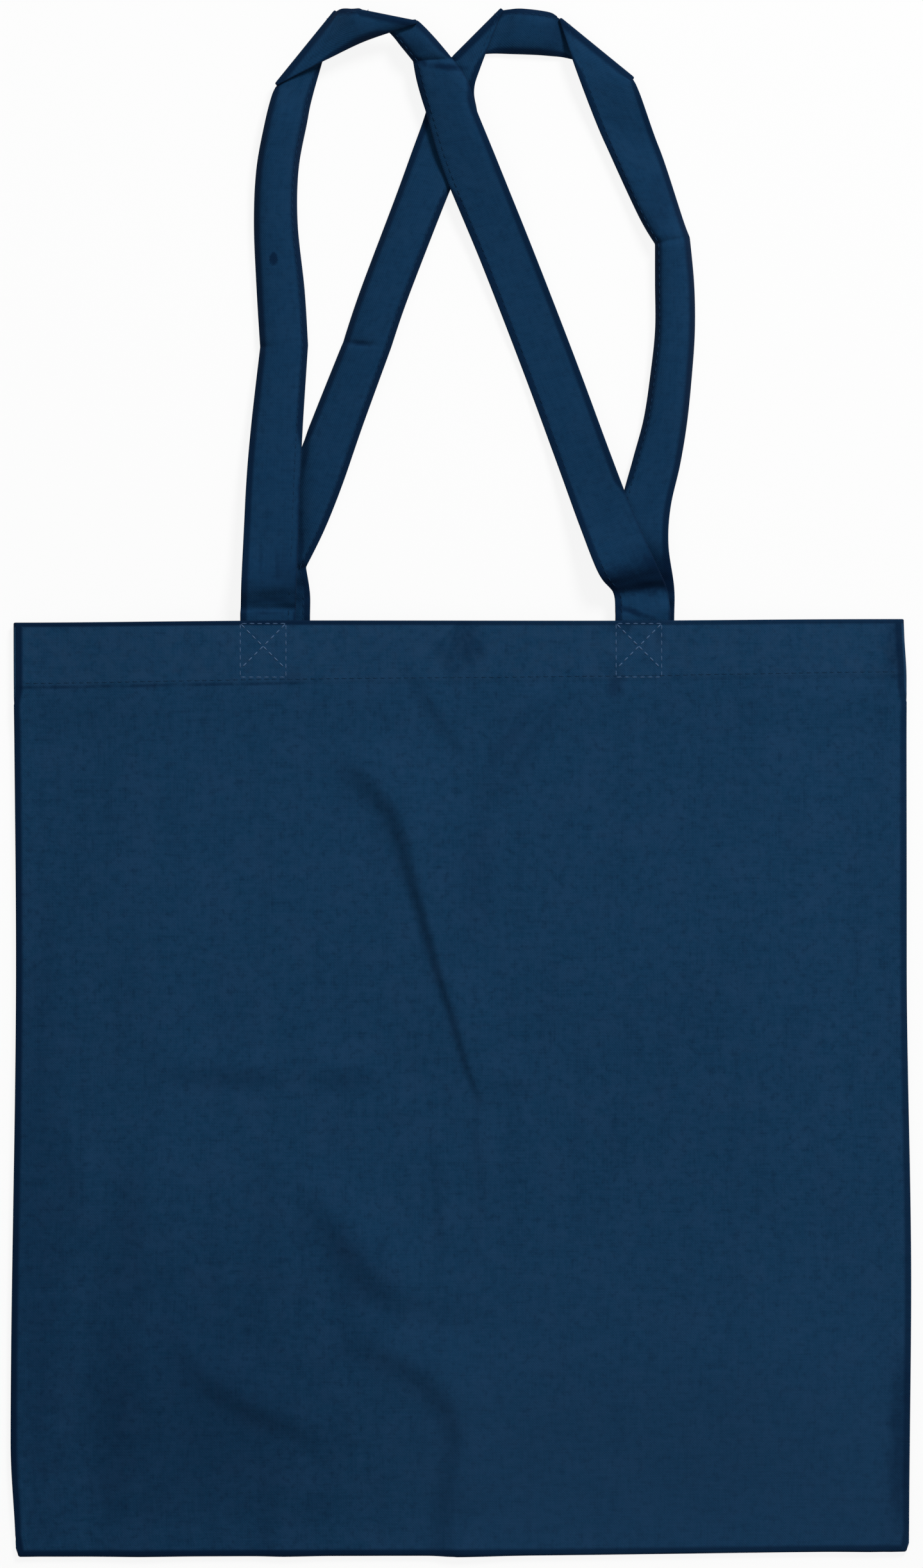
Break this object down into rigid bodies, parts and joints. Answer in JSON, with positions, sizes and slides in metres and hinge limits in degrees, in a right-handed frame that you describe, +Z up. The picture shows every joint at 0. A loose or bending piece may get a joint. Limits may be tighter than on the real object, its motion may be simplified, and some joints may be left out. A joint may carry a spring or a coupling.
{
  "type": "cotton tote bag",
  "caption": "Flat rectangular cotton tote bag with an open hemmed mouth and long shoulder handles sewn inside it, lying flat on its back.",
  "frame": {"origin": "on the surface the bag lies on, under the middle of the whole bag with its handles laid out", "axes": "+X across the bag, +Y from the bottom fold towards the mouth and handles, +Z up from the back cloth to the front cloth"},
  "size_m": [0.3818, 0.6598, 0.0161],
  "materials": {
    "cotton": "matt navy plain-weave cotton",
    "strap": "matt navy cotton folded into a flat strap",
    "thread": "polyester sewing thread, a little lighter than the cloth"
  },
  "bodies": {
    "root": {"bag_body": "cotton", "front_handle": "strap", "back_handle": "strap", "hem_stitching": "thread", "front_left_box_stitch": "thread", "front_right_box_stitch": "thread", "back_left_box_stitch": "thread", "back_right_box_stitch": "thread"}
  },
  "joints": []
}
